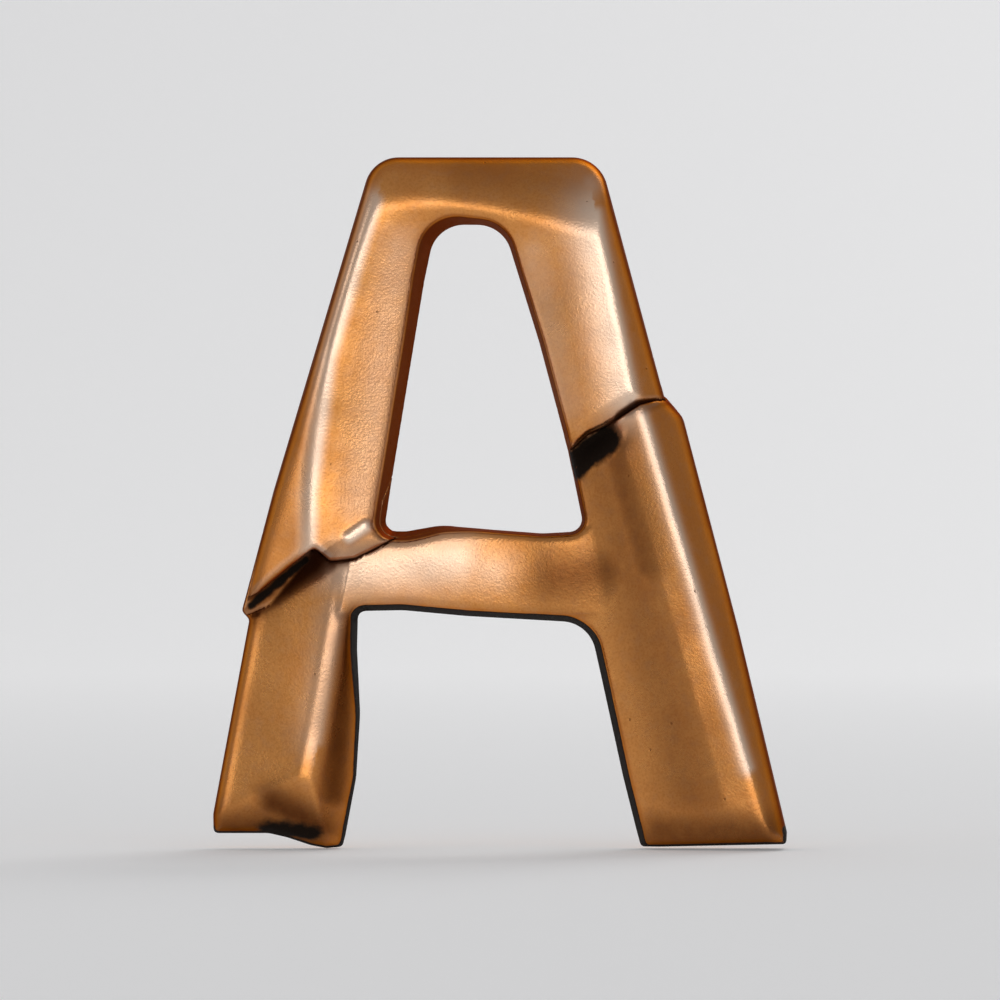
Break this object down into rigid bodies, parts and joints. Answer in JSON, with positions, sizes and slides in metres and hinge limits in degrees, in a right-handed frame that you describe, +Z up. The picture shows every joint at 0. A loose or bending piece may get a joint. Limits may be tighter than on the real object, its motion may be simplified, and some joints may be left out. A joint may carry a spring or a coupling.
{
  "type": "leather stamp letter",
  "caption": "Faceted metal letter A with lapped legs and an open counter, held from behind by tapped posts with washers and slotted screws",
  "frame": {"origin": "bottom centre of the whole part's box: the floor between the feet", "axes": "+Z up the letter, -Y out of its faceted front, +Y out of its flat back, +X to the reader's right"},
  "size_m": [0.0317, 0.0098, 0.0381],
  "materials": {
    "casting": "antiqued copper",
    "post": "turned, lightly aged",
    "washer": "stamped, aged",
    "screw": "turned, slotted"
  },
  "bodies": {
    "letter": {"arch": "casting", "lower_frame": "casting", "post_upper_left": "post", "post_upper_right": "post", "post_lower_left": "post", "post_lower_right": "post"},
    "washer_upper_left": {"washer_upper_left": "washer"},
    "screw_upper_left": {"screw_upper_left": "screw"},
    "washer_upper_right": {"washer_upper_right": "washer"},
    "screw_upper_right": {"screw_upper_right": "screw"},
    "washer_lower_left": {"washer_lower_left": "washer"},
    "screw_lower_left": {"screw_lower_left": "screw"},
    "washer_lower_right": {"washer_lower_right": "washer"},
    "screw_lower_right": {"screw_lower_right": "screw"}
  },
  "joints": [
    {"name": "screw_travel_upper_left", "type": "slide", "parent": "letter", "child": "washer_upper_left", "axis": [0, 1, 0], "range_m": [0, 0.0036]},
    {"name": "screw_turn_upper_left", "type": "hinge", "parent": "washer_upper_left", "child": "screw_upper_left", "pos_m": [-0.0072, 0.00285, 0.0288], "axis": [0, 1, 0], "range_deg": [0, 2880]},
    {"name": "screw_travel_upper_right", "type": "slide", "parent": "letter", "child": "washer_upper_right", "axis": [0, 1, 0], "range_m": [0, 0.0036]},
    {"name": "screw_turn_upper_right", "type": "hinge", "parent": "washer_upper_right", "child": "screw_upper_right", "pos_m": [0.00495, 0.00285, 0.0288], "axis": [0, 1, 0], "range_deg": [0, 2880]},
    {"name": "screw_travel_lower_left", "type": "slide", "parent": "letter", "child": "washer_lower_left", "axis": [0, 1, 0], "range_m": [0, 0.0036]},
    {"name": "screw_turn_lower_left", "type": "hinge", "parent": "washer_lower_left", "child": "screw_lower_left", "pos_m": [-0.01115, 0.00285, 0.0081], "axis": [0, 1, 0], "range_deg": [0, 2880]},
    {"name": "screw_travel_lower_right", "type": "slide", "parent": "letter", "child": "washer_lower_right", "axis": [0, 1, 0], "range_m": [0, 0.0036]},
    {"name": "screw_turn_lower_right", "type": "hinge", "parent": "washer_lower_right", "child": "screw_lower_right", "pos_m": [0.01005, 0.00285, 0.0081], "axis": [0, 1, 0], "range_deg": [0, 2880]}
  ],
  "couplings": [
    {"joint": "screw_turn_upper_left", "follows": "screw_travel_upper_left", "rad_per_m": 13963},
    {"joint": "screw_turn_upper_right", "follows": "screw_travel_upper_right", "rad_per_m": 13963},
    {"joint": "screw_turn_lower_left", "follows": "screw_travel_lower_left", "rad_per_m": 13963},
    {"joint": "screw_turn_lower_right", "follows": "screw_travel_lower_right", "rad_per_m": 13963}
  ]
}
